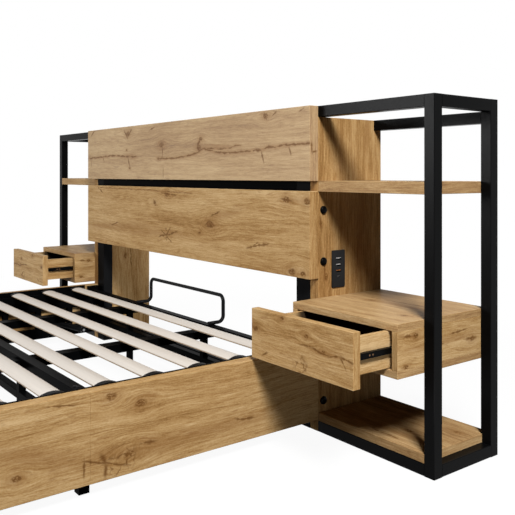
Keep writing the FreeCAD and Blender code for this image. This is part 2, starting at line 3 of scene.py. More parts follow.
import bmesh
import bpy
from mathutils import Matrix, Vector


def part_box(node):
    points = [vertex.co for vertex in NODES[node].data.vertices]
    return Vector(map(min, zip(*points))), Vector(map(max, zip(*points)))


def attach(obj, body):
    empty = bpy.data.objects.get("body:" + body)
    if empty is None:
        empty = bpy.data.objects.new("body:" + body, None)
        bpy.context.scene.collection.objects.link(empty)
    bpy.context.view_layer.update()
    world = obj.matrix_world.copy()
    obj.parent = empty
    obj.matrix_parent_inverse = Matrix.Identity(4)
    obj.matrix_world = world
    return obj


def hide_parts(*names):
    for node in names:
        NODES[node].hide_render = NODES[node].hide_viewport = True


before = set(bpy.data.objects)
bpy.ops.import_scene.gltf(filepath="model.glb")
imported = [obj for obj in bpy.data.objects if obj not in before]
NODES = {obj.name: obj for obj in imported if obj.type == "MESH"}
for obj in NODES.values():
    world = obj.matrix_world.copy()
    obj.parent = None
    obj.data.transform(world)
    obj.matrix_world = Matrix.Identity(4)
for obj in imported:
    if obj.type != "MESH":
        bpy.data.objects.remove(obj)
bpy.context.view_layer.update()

# Picture and camera, from the photograph's vanishing points
PICTURE = 515
FOCAL_PIXELS = 707.0
HORIZON_ROW = 174.7
SENSOR = 36.0
CAMERA_AT = (2.1712, -0.4255, 0.7098)
CAMERA_FORWARD = (-0.7929, 0.6094, 0.0)

# Lamps: a high key from the right, a large soft box at the front left, a small one behind the headboard and a
# weak one near the floor at the right
KEY_AT = (3.37, -0.52, 3.31)
KEY_AIM = (0.8, 0.85, 0.35)
KEY_SIZE = 1.0
KEY_POWER = 285.0
BOX_AT = (-3.85, -5.55, 1.75)
BOX_AIM = (0.3, 0.85, 0.6)
BOX_WIDE = 3.0
BOX_HIGH = 1.8
BOX_POWER = 338.0
REAR_AT = (0.1, 1.6, 0.55)
REAR_AIM = (-0.69, 1.05, 0.3)
REAR_SIZE = 0.5
REAR_POWER = 5.5
LOW_AT = (1.5, 0.6, 0.05)
LOW_AIM = (0.76, 0.72, 0.12)
LOW_WIDE = 0.3
LOW_HIGH = 0.075
LOW_POWER = 0.60
WORLD_LIGHT = 0.015
FLOOR_SIZE = 30.0
FLOOR_BOUNCE = (0.09, 0.087, 0.084, 1)
FLOOR_PALE = (0.95, 0.95, 0.95, 1)
FLOOR_SHADOW = 0.06
SHADOW_FADE = (1.2, 3.0)
WHITE = (1, 1, 1, 1)

# Small pieces, in metres: the mattress retainer, then screws and bolts. A profile has shares of radius and rise.
LOOP_ROD = 0.012
LOOP_BEND = 0.020
BEND_STEPS = 8
ROD_SIDES = 20
SCREW_SIDES = 24
SCREW_PROFILE = ((1.0, 0.0), (1.0, 0.45), (0.93, 0.75), (0.78, 0.95), (0.62, 1.0))
HEXAGON_REACH = 0.5
HEXAGON_FLOOR = 0.35
RUNNER_SCREWS = (0.036, 0.0466)
RUNNER_SCREW_RADIUS = 0.0022
RUNNER_SCREW_RISE = 0.0003
BOLT_HEIGHTS = (0.083, 0.469, 0.612)
BOLT_RISE = 0.0035
CAP_RADIUS = 0.0112
CAP_RISE = 0.0075
CAP_PROFILE = ((1.0, 0.0), (1.0, 0.35), (0.93, 0.60), (0.78, 0.80), (0.50, 0.95), (0.15, 1.0))
SEAM_BOLTS = ((0.611, 0.2385), (0.619, 0.2425))
SEAM_BOLT_RADIUS = 0.0040
SEAM_BOLT_RISE = 0.0022
SEAM_TOP = 0.218

# Axes by number
X, Y, Z = 0, 1, 2

# Wood colours, in linear light
OAK_DARK = (0.200, 0.100, 0.032, 1)
OAK_BROWN = (0.310, 0.175, 0.064, 1)
OAK_TAN = (0.407, 0.255, 0.109, 1)
OAK_PALE = (0.530, 0.365, 0.185, 1)
OAK_MARK = (0.120, 0.050, 0.013, 1)
OAK_HALO = (0.215, 0.100, 0.032, 1)
OAK_PORE = (0.190, 0.092, 0.030, 1)
# A pale grey laid over the wood as a painted sheen
OAK_PAINTED_SHEEN = (0.440, 0.390, 0.330, 1)
OAK_STOPS = ((0.16, OAK_DARK), (0.36, OAK_BROWN), (0.54, OAK_TAN), (0.80, OAK_PALE))

# Oak's grain: waves per metre along and across it, step of the seed, detail and roughness of each layer
GRAIN = {"broad": (1.3, 8, 2, 2.0, 0.5), "band": (2.4, 40, 3, 4.0, 0.65), "fibre": (9, 230, 5, 3.0, 0.7),
         "streak": (28, 400, 6, 2.0, 0.6), "speck": (200, 400, 9, 1.0, 0.5), "pore": (36, 520, 7, 1.0, 0.5),
         "swirl": (1.5, 7, 11, 1.0, 0.5), "smudge": (20, 95, 13, 2.0, 0.6)}
GRAIN_SHARES = (("broad", 0.62), ("band", 0.66), ("fibre", 0.72), ("streak", 0.55), ("speck", 0.32))

# How far a crack wanders from its line, and how it fades at its ends, in metres
CRACK_WANDER = 0.004
CRACK_FADE = 0.012

# How strongly a mark colours the wood
RING_STRENGTH = 0.03
PORE_STRENGTH = 0.45
SMUDGE_STRENGTH = 0.45
HALO_STRENGTH = 0.42
# Painted shade inside the drawers: how strongly it darkens the wood
DRAWER_SHADE_STRENGTH = 0.95

# Painted shade inside the drawers, where the case's shadow falls, and how far behind the walls' front ends it
# begins, in metres
DRAWER_PAINTED_SHADE = (0.020, 0.014, 0.010, 1)
DRAWER_SHADE_BEGINS = 0.085
DRAWER_SHADE_FADE = 0.03
DRAWER_SHADE_EDGE = (0.003, 0.005)

# Slats: a cream face, and plies that show on the edge
CREAM = ((0.3, (0.505, 0.462, 0.413, 1)), (0.7, (0.587, 0.538, 0.481, 1)))
PLIES = ((0.2, (0.30, 0.19, 0.10, 1)), (0.8, (0.48, 0.34, 0.20, 1)))
PLY_PITCH = 0.0022
SLAT_EDGE = (0.0045, 0.0030)

# Shades of black paint, from the darkest
RUNNER_BLACK = 0.0012
BOLT_CAP_BLACK = 0.0016
STEEL_BLACK = 0.0022
BOLT_BLACK = 0.004
CYLINDER_BLACK = 0.005
ROD_BLACK = 0.007  # also the head posts
SEAM_BOLT_BLACK = 0.012

# Bare metals, plastic and rubber
POLISHED_STEEL = (0.62, 0.62, 0.64)
ZINC = (0.24, 0.245, 0.25)
BRASS = (0.20, 0.11, 0.055)
CAP_PLASTIC = (0.003, 0.0032, 0.0036)
CHARGER_PLASTIC = (0.009, 0.009, 0.0094)
PAD_RUBBER = (0.025, 0.025, 0.025)
MOULD_GRAIN = 900  # waves per metre

# Tongues of the charger's sockets, by height from the lowest to the highest
TONGUE_GREY = (0.10, 0.10, 0.10, 1)
TONGUE_ORANGE = (0.42, 0.13, 0.02, 1)
TONGUE_WHITE = (0.72, 0.72, 0.72, 1)
TONGUE_STOPS = ((0.00, TONGUE_GREY), (0.16, TONGUE_GREY), (0.17, TONGUE_ORANGE), (0.50, TONGUE_ORANGE),
                (0.51, TONGUE_WHITE), (1.00, TONGUE_WHITE))


class Field:
    """A number that varies over a surface: the output of a node, with arithmetic."""

    def __init__(self, graph, socket):
        self.graph = graph
        self.socket = socket

    def __add__(self, other):
        return self.graph.math("ADD", self, other)

    def __sub__(self, other):
        return self.graph.math("SUBTRACT", self, other)

    def __rsub__(self, other):
        return self.graph.math("SUBTRACT", other, self)

    def __mul__(self, other):
        return self.graph.math("MULTIPLY", self, other)

    def __truediv__(self, other):
        return self.graph.math("DIVIDE", self, other)

    __radd__ = __add__
    __rmul__ = __mul__


class Graph:
    """A material's node tree, written as formulas."""

    def __init__(self, name):
        self.material = bpy.data.materials.new(name)
        self.material.use_nodes = True
        self.tree = self.material.node_tree
        self.tree.nodes.clear()

    def node(self, kind, **settings):
        made = self.tree.nodes.new(kind)
        for key, value in settings.items():
            setattr(made, key, value)
        return made

    def feed(self, socket, value):
        if isinstance(value, Field):
            self.tree.links.new(value.socket, socket)
        else:
            socket.default_value = value

    def math(self, operation, *values):
        made = self.node("ShaderNodeMath", operation=operation)
        for socket, value in zip(made.inputs, values):
            self.feed(socket, value)
        return Field(self, made.outputs[0])

    def smooth(self, value, low, high):
        """0 where the value is at low, 1 where it is at high, eased between; low may be above high."""
        made = self.node("ShaderNodeMapRange", interpolation_type="SMOOTHSTEP")
        for socket, setting in zip(made.inputs, (value, low, high, 0.0, 1.0)):
            self.feed(socket, setting)
        return Field(self, made.outputs[0])

    def vector(self, x, y, z):
        made = self.node("ShaderNodeCombineXYZ")
        for socket, value in zip(made.inputs, (x, y, z)):
            self.feed(socket, value)
        return Field(self, made.outputs[0])

    def split(self, vector):
        made = self.node("ShaderNodeSeparateXYZ")
        self.feed(made.inputs[0], vector)
        return [Field(self, socket) for socket in made.outputs]

    def noise(self, x, y, z, detail=2.0, roughness=0.5):
        made = self.node("ShaderNodeTexNoise")
        self.feed(made.inputs["Vector"], self.vector(x, y, z))
        made.inputs["Scale"].default_value = 1.0
        made.inputs["Detail"].default_value = detail
        made.inputs["Roughness"].default_value = roughness
        return Field(self, made.outputs[0])

    def wave_noise(self, along, detail=1.0):
        """Noise along one line."""
        made = self.node("ShaderNodeTexNoise", noise_dimensions="1D")
        self.feed(made.inputs["W"], along)
        made.inputs["Scale"].default_value = 1.0
        made.inputs["Detail"].default_value = detail
        return Field(self, made.outputs[0])

    def ramp(self, value, stops):
        """Colours between stops of (place, colour)."""
        made = self.node("ShaderNodeValToRGB")
        self.feed(made.inputs[0], value)
        elements = made.color_ramp.elements
        while len(elements) < len(stops):
            elements.new(1.0)
        for element, (place, colour) in zip(elements, stops):
            element.position = place
            element.color = colour
        return Field(self, made.outputs[0])

    def mix(self, share, first, second):
        made = self.node("ShaderNodeMix", data_type="RGBA")
        self.feed(made.inputs[0], share)
        self.feed(made.inputs[6], first)
        self.feed(made.inputs[7], second)
        return Field(self, made.outputs[2])

    def bump(self, height, strength, depth):
        made = self.node("ShaderNodeBump")
        made.inputs["Strength"].default_value = strength
        made.inputs["Distance"].default_value = depth
        self.feed(made.inputs["Height"], height)
        return Field(self, made.outputs[0])

    def coordinates(self):
        """The place on the part in metres, and the surface's direction, both carried by the piece."""
        made = self.node("ShaderNodeTexCoord")
        return Field(self, made.outputs["Object"]), Field(self, made.outputs["Normal"])

    def finish(self, **inputs):
        shader = self.node("ShaderNodeBsdfPrincipled")
        for name, value in inputs.items():
            self.feed(shader.inputs[name.replace("_", " ")], value)
        output = self.node("ShaderNodeOutputMaterial")
        self.tree.links.new(shader.outputs[0], output.inputs[0])
        return self.material


def knot(graph, along, across, middle, size):
    """A knot's halo and speckled heart, and how far it pushes the grain aside."""
    wobble = graph.noise(along * 60, across * 95, middle[0] * 50, 2.0) - 0.5
    from_along = (along - middle[0]) / (size * 1.7)
    from_across = (across - middle[1]) / size + wobble * 1.4
    distance = graph.math("SQRT", from_along * from_along + from_across * from_across)
    halo = graph.smooth(distance, 3.2, 0.2)
    speckle = graph.noise(along * 190, across * 300, middle[1] * 70, 2.0)
    heart = graph.smooth(distance, 1.15, 0.55) * graph.smooth(speckle, 0.34, 0.54)
    waves = graph.smooth(graph.math("SINE", distance * 9 + wobble * 4), 0.55, 1.0)
    rings = waves * graph.smooth(distance, 3.0, 1.0)
    push = (across - middle[1]) * graph.smooth(distance, 6.0, 0.0) * -0.75
    return halo, graph.math("MAXIMUM", heart, rings * 0.12), push


def line_between(along, across, start, end):
    """How far a point lies forward on the line between two places and beside it, and the line's length."""
    reach = Vector(end) - Vector(start)
    heading = reach / reach.length
    near_along = along - start[0]
    near_across = across - start[1]
    forward = near_along * heading.x + near_across * heading.y
    sideways = near_across * heading.x - near_along * heading.y
    return forward, sideways, reach.length


def between(graph, forward, start, end, fade):
    """1 between the two ends of a line, 0 beyond them."""
    return graph.smooth(forward, start - fade, start + fade) * graph.smooth(forward, end + fade, end - fade)


def crack(graph, along, across, start, end, width):
    """A wandering dark line between two places on a board, of uneven width."""
    forward, sideways, length = line_between(along, across, start, end)
    key = start[0] * 17 + start[1] * 29
    bend = graph.wave_noise(forward * 18 + key, 3.0) - 0.5
    uneven = graph.wave_noise(forward * 60 + key * 3, 2.0)
    off_line = graph.math("ABSOLUTE", sideways + bend * (CRACK_WANDER * 2))
    line = graph.smooth(off_line, graph.math("MAXIMUM", uneven * 3.4 - 0.60, 0.05) * width, 0.0)
    return line * between(graph, forward, 0.0, length, min(CRACK_FADE, length / 3))


def course(graph, along, across, width, places):
    """A long crack along the grain through several places, and the brown wood beside it."""
    start, end = places[0][0], places[-1][0]
    low = min(place[1] for place in places)
    high = max(place[1] for place in places)
    curve = graph.node("ShaderNodeFloatCurve")
    points = curve.mapping.curves[0].points
    while len(points) < len(places):
        points.new(0.5, 0.5)
    for point, place in zip(points, places):
        point.location = ((place[0] - start) / (end - start), (place[1] - low) / (high - low))
        point.handle_type = "VECTOR"
    curve.mapping.update()
    graph.feed(curve.inputs["Value"], (along - start) / (end - start))
    middle = Field(graph, curve.outputs[0]) * (high - low) + low
    bend = graph.wave_noise(along * 30 + start * 17, 3.0) - 0.5
    uneven = graph.wave_noise(along * 34 + start * 29, 3.0)
    off_line = graph.math("ABSOLUTE", across - middle + bend * (CRACK_WANDER * 2))
    ends = between(graph, along, start, end, CRACK_FADE)
    line = graph.smooth(off_line, graph.math("MAXIMUM", uneven * 4.6 - 1.35, 0.05) * width, 0.0)
    return line * ends, graph.smooth(off_line, width * 3.0, 0.0) * ends


def stain(graph, along, across, start, end, width):
    """A broad soft streak of darker heartwood between two places on a board."""
    forward, sideways, length = line_between(along, across, start, end)
    ragged = graph.noise(along * 9, across * 40, start[0] * 13, 3.0)
    across_it = graph.smooth(graph.math("ABSOLUTE", sideways), ragged * (width * 3.0), 0.0)
    return across_it * between(graph, forward, 0.0, length, length / 3)


def star(graph, along, across, middle, size):
    """Short checks that spread from one place."""
    from_along = along - middle[0]
    from_across = across - middle[1]
    distance = graph.math("SQRT", from_along * from_along + from_across * from_across)
    cells = graph.node("ShaderNodeTexVoronoi", feature="DISTANCE_TO_EDGE")
    wobble = graph.noise(along * 70, across * 70, middle[1] * 40, 2.0)
    spread = graph.vector(along * 48 + wobble * 1.6, across * 34 + wobble, middle[0] * 9)
    graph.feed(cells.inputs["Vector"], spread)
    cells.inputs["Scale"].default_value = 1.0
    lines = graph.smooth(Field(graph, cells.outputs["Distance"]), 0.13, 0.02)
    uneven = graph.smooth(graph.noise(along * 60, across * 60, middle[0] * 31, 1.0), 0.36, 0.60)
    return lines * uneven * graph.smooth(distance, size, size * 0.35)


def darker(graph, before, field):
    """The larger of two fields, where the first may be missing."""
    return field if before is None else graph.math("MAXIMUM", before, field)


def oak(name, grain, wide, seed, tone=0.0, end_tone=0.0, painted_sheen=0.0, shine=0.03, shaded_inside=None,
        knots=(), cracks=(), courses=(), end_cracks=(), stars=(), stains=()):
    """Oak board: grain along one axis and its wide face across another, with marks at places on that face.

    A place is (along the grain, across it) in metres of the part's frame. An end face has its grain along
    its edge. Tone makes the wood paler or darker, a grey painted sheen can be laid over it, and a drawer's
    walls, when named, get painted shade on their inner faces where shadow falls inside the drawer.
    """
    graph = Graph(name)
    place, direction = graph.coordinates()
    parts = graph.split(place)
    on_end = graph.smooth(graph.math("ABSOLUTE", graph.split(direction)[grain]), 0.80, 0.85)
    on_face = 1.0 - on_end
    thin = X + Y + Z - grain - wide
    along = parts[grain] * on_face + parts[wide] * on_end
    across = parts[wide] * on_face + parts[thin] * on_end
    deep = parts[thin] * on_face + parts[grain] * on_end

    flow = across + (graph.noise(along * 2.1, across * 5.5, deep * 5.5 + seed, 2.0) - 0.5) * 0.035
    halo = None
    dark = None
    for middle, size in knots:
        around, heart, push = knot(graph, along, across, middle, size)
        flow = flow + push * on_face
        halo = darker(graph, halo, around * on_face)
        dark = darker(graph, dark, heart * on_face)
    for mark in stains:
        halo = darker(graph, halo, stain(graph, along, across, *mark) * on_face)
    for mark in cracks:
        dark = darker(graph, dark, crack(graph, along, across, *mark) * on_face)
    for mark in end_cracks:
        dark = darker(graph, dark, crack(graph, along, across, *mark) * on_end)
    for mark in stars:
        dark = darker(graph, dark, star(graph, along, across, *mark) * on_face)
    for mark in courses:
        line, brown = course(graph, along, across, *mark)
        halo = darker(graph, halo, brown * on_face)
        dark = darker(graph, dark, line * on_face)

    layers = {}
    for layer, (waves_along, waves_across, step, detail, roughness) in GRAIN.items():
        layers[layer] = graph.noise(along * waves_along, flow * waves_across,
                                    deep * waves_across + seed * step, detail, roughness)
    value = 0.5 + tone
    for layer, share in GRAIN_SHARES:
        value = value + (layers[layer] - 0.5) * share
    ring = graph.math("SINE", layers["swirl"] * 75 + flow * 160)
    value = value + ring * RING_STRENGTH + on_end * end_tone
    colour = graph.ramp(value, OAK_STOPS)
    flecks = graph.smooth(layers["pore"], 0.56, 0.70) * graph.smooth(layers["band"], 0.62, 0.40)
    colour = graph.mix(flecks * PORE_STRENGTH, colour, OAK_PORE)
    smudges = graph.smooth(layers["smudge"], 0.60, 0.74)
    colour = graph.mix(smudges * SMUDGE_STRENGTH, colour, OAK_HALO)
    height = layers["fibre"] * 0.6 - flecks * 0.8
    # Painted sheen: the wood greyed towards a pale grey, standing in for a glossy reflection
    if painted_sheen:
        colour = graph.mix(painted_sheen, colour, OAK_PAINTED_SHEEN)
    if halo is not None:
        colour = graph.mix(halo * HALO_STRENGTH, colour, OAK_HALO)
    if dark is not None:
        colour = graph.mix(dark * (0.62 + layers["streak"] * 0.5), colour, OAK_MARK)
    # Painted shade: the drawer's inner faces darkened where the case's shadow falls
    if shaded_inside:
        shade_share = painted_shade_share(graph, parts, direction, shaded_inside)
        colour = graph.mix(shade_share * DRAWER_SHADE_STRENGTH, colour, DRAWER_PAINTED_SHADE)
    return graph.finish(Base_Color=colour, Roughness=0.46 + (layers["fibre"] - 0.5) * 0.25,
                        Specular_IOR_Level=shine, Normal=graph.bump(height, 0.25, 0.0006))


def painted_shade_share(graph, parts, direction, name):
    """Share of painted shade: 1 on the inner faces of a drawer's walls, 0 on outer faces and top edges and near
    the drawer front.
    """
    low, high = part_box(name)
    begins = low.y + DRAWER_SHADE_BEGINS
    outer, inner = DRAWER_SHADE_EDGE
    half = (high.x - low.x) / 2
    from_middle = graph.math("ABSOLUTE", parts[X] - (low.x + high.x) / 2)
    inside = graph.smooth(from_middle, half - outer, half - inner)
    upright = graph.smooth(graph.math("ABSOLUTE", graph.split(direction)[Z]), 0.8, 0.7)
    behind = graph.smooth(parts[Y], begins, begins + DRAWER_SHADE_FADE)
    return inside * upright * behind * graph.smooth(parts[Y], high.y - outer, high.y - inner)


def dress(material, *names):
    """The material alone on each named node."""
    for name in names:
        slots = NODES[name].data.materials
        slots.clear()
        slots.append(material)


def powder_coat(name, shade, grain_size=0.0016, shine=0.035):
    """Black powder coat with a fine orange-peel speckle."""
    graph = Graph(name)
    place, _ = graph.coordinates()
    x, y, z = graph.split(place)
    count = 1 / grain_size
    speckle = graph.noise(x * count, y * count, z * count, 2.0, 0.6)
    cloud = graph.noise(x * 9, y * 9, z * 9, 3.0)
    tint = graph.ramp(speckle * 0.7 + cloud * 0.3,
                      [(0.30, (shade * 0.7, shade * 0.72, shade * 0.78, 1)),
                       (0.70, (shade * 1.35, shade * 1.38, shade * 1.48, 1))])
    return graph.finish(Base_Color=tint, Roughness=0.24 + speckle * 0.12, Specular_IOR_Level=shine,
                        Normal=graph.bump(speckle, 0.12, 0.0005))


def slat_wood():
    """Pale sealed plywood: a smooth cream face over tan plies."""
    graph = Graph("slat_wood")
    place, _ = graph.coordinates()
    x, y, z = graph.split(place)
    low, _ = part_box("slats")
    fibre = graph.noise(x * 6, y * 240, z * 240, 3.0)
    cloud = graph.noise(x * 2, y * 12, z * 12, 2.0)
    cream = graph.ramp(fibre * 0.5 + cloud * 0.5, CREAM)
    plies = graph.math("SINE", z * (2 * math.pi / PLY_PITCH))
    edge = graph.ramp(plies * 0.5 + 0.5, PLIES)
    on_edge = graph.smooth(z, low.z + SLAT_EDGE[0], low.z + SLAT_EDGE[1])
    return graph.finish(Base_Color=graph.mix(on_edge, cream, edge), Roughness=0.40 + fibre * 0.15,
                        Specular_IOR_Level=0.30, Normal=graph.bump(fibre, 0.12, 0.0003))


def moulded(name, colour, roughness, specular):
    """Moulded plastic or rubber with a fine spark-eroded texture."""
    graph = Graph(name)
    place, _ = graph.coordinates()
    x, y, z = graph.split(place)
    grain = graph.noise(x * MOULD_GRAIN, y * MOULD_GRAIN, z * MOULD_GRAIN, 2.0)
    cloud = graph.noise(x * 25, y * 25, z * 25, 2.0)
    pale = tuple(min(1.0, part * 1.25) for part in colour) + (1,)
    deep = tuple(part * 0.8 for part in colour) + (1,)
    tint = graph.ramp(grain * 0.5 + cloud * 0.5, [(0.3, deep), (0.7, pale)])
    return graph.finish(Base_Color=tint, Roughness=roughness + (grain - 0.5) * 0.2,
                        Specular_IOR_Level=specular, Normal=graph.bump(grain, 0.15, 0.0002))


def bare_metal(name, colour, roughness, streak_axis=X):
    """Plated or polished steel with fine drawing lines along an axis."""
    graph = Graph(name)
    place, _ = graph.coordinates()
    parts = graph.split(place)
    stretched = [part * (30 if axis == streak_axis else 1400) for axis, part in enumerate(parts)]
    lines = graph.noise(*stretched, 3.0)
    pale = tuple(min(1.0, part * 1.1) for part in colour) + (1,)
    deep = tuple(part * 0.85 for part in colour) + (1,)
    return graph.finish(Base_Color=graph.ramp(lines, [(0.3, deep), (0.7, pale)]), Metallic=1.0,
                        Roughness=roughness + (lines - 0.5) * 0.15, Normal=graph.bump(lines, 0.08, 0.0002))


def aim(thing, place, target):
    thing.location = place
    thing.rotation_euler = (Vector(target) - Vector(place)).to_track_quat("-Z", "Y").to_euler()


def area_lamp(name, place, target, wide, high, power):
    data = bpy.data.lights.new(name, "AREA")
    data.shape = "RECTANGLE"
    data.size = wide
    data.size_y = high
    data.energy = power
    lamp = bpy.data.objects.new(name, data)
    bpy.context.scene.collection.objects.link(lamp)
    aim(lamp, place, target)
    lamp.visible_camera = False


def seen_directly(tree):
    """1 for rays from the camera, and for those that metal or glass turns to the background."""
    path = tree.nodes.new("ShaderNodeLightPath")
    either = tree.nodes.new("ShaderNodeMath")
    either.operation = "MAXIMUM"
    tree.links.new(path.outputs["Is Camera Ray"], either.inputs[0])
    tree.links.new(path.outputs["Is Glossy Ray"], either.inputs[1])
    every = tree.nodes.new("ShaderNodeMath")
    every.operation = "MAXIMUM"
    tree.links.new(either.outputs[0], every.inputs[0])
    tree.links.new(path.outputs["Is Transmission Ray"], every.inputs[1])
    return every.outputs[0]


def floor_paint():
    """White where it is seen, with a faint shadow around the part, and dull to the light it throws back."""
    graph = Graph("floor")

    def surface(kind, colour):
        made = graph.node(kind)
        made.inputs["Color"].default_value = colour
        return made.outputs[0]

    def blend(share, first, second):
        made = graph.node("ShaderNodeMixShader")
        graph.feed(made.inputs[0], share)
        graph.tree.links.new(first, made.inputs[1])
        graph.tree.links.new(second, made.inputs[2])
        return made.outputs[0]

    place, _ = graph.coordinates()
    distance = graph.node("ShaderNodeVectorMath", operation="LENGTH")
    graph.feed(distance.inputs[0], place)
    shadow = (1.0 - graph.smooth(Field(graph, distance.outputs["Value"]), *SHADOW_FADE)) * FLOOR_SHADOW
    pale = blend(shadow, surface("ShaderNodeEmission", WHITE), surface("ShaderNodeBsdfDiffuse", FLOOR_PALE))
    seen = Field(graph, seen_directly(graph.tree))
    painted = blend(seen, surface("ShaderNodeBsdfDiffuse", FLOOR_BOUNCE), pale)
    output = graph.node("ShaderNodeOutputMaterial")
    graph.tree.links.new(painted, output.inputs[0])
    return graph.material


def studio():
    """World, floor and lamps."""
    world = bpy.data.worlds.new("studio")
    bpy.context.scene.world = world
    world.use_nodes = True
    tree = world.node_tree
    background = tree.nodes["Background"]
    background.inputs["Color"].default_value = WHITE
    strength = tree.nodes.new("ShaderNodeMapRange")
    strength.inputs["To Min"].default_value = WORLD_LIGHT
    strength.inputs["To Max"].default_value = 1.0
    tree.links.new(seen_directly(tree), strength.inputs["Value"])
    tree.links.new(strength.outputs[0], background.inputs["Strength"])

    mesh = bpy.data.meshes.new("floor")
    half = FLOOR_SIZE / 2
    corners = [(-half, -half, 0), (half, -half, 0), (half, half, 0), (-half, half, 0)]
    mesh.from_pydata(corners, [], [(0, 1, 2, 3)])
    mesh.materials.append(floor_paint())
    floor = bpy.data.objects.new("floor", mesh)
    bpy.context.scene.collection.objects.link(floor)

    area_lamp("key", KEY_AT, KEY_AIM, KEY_SIZE, KEY_SIZE, KEY_POWER)
    area_lamp("soft_box", BOX_AT, BOX_AIM, BOX_WIDE, BOX_HIGH, BOX_POWER)
    area_lamp("rear", REAR_AT, REAR_AIM, REAR_SIZE, REAR_SIZE, REAR_POWER)
    area_lamp("low", LOW_AT, LOW_AIM, LOW_WIDE, LOW_HIGH, LOW_POWER)


def camera():
    """The photograph's camera, level, with its horizon above the middle of the picture."""
    data = bpy.data.cameras.new("camera")
    data.sensor_width = SENSOR
    data.lens = SENSOR * FOCAL_PIXELS / PICTURE
    data.shift_y = (HORIZON_ROW - PICTURE / 2) / PICTURE
    view = bpy.data.objects.new("camera", data)
    bpy.context.scene.collection.objects.link(view)
    aim(view, CAMERA_AT, Vector(CAMERA_AT) + Vector(CAMERA_FORWARD))
    bpy.context.scene.camera = view
    bpy.context.scene.view_settings.view_transform = "Standard"


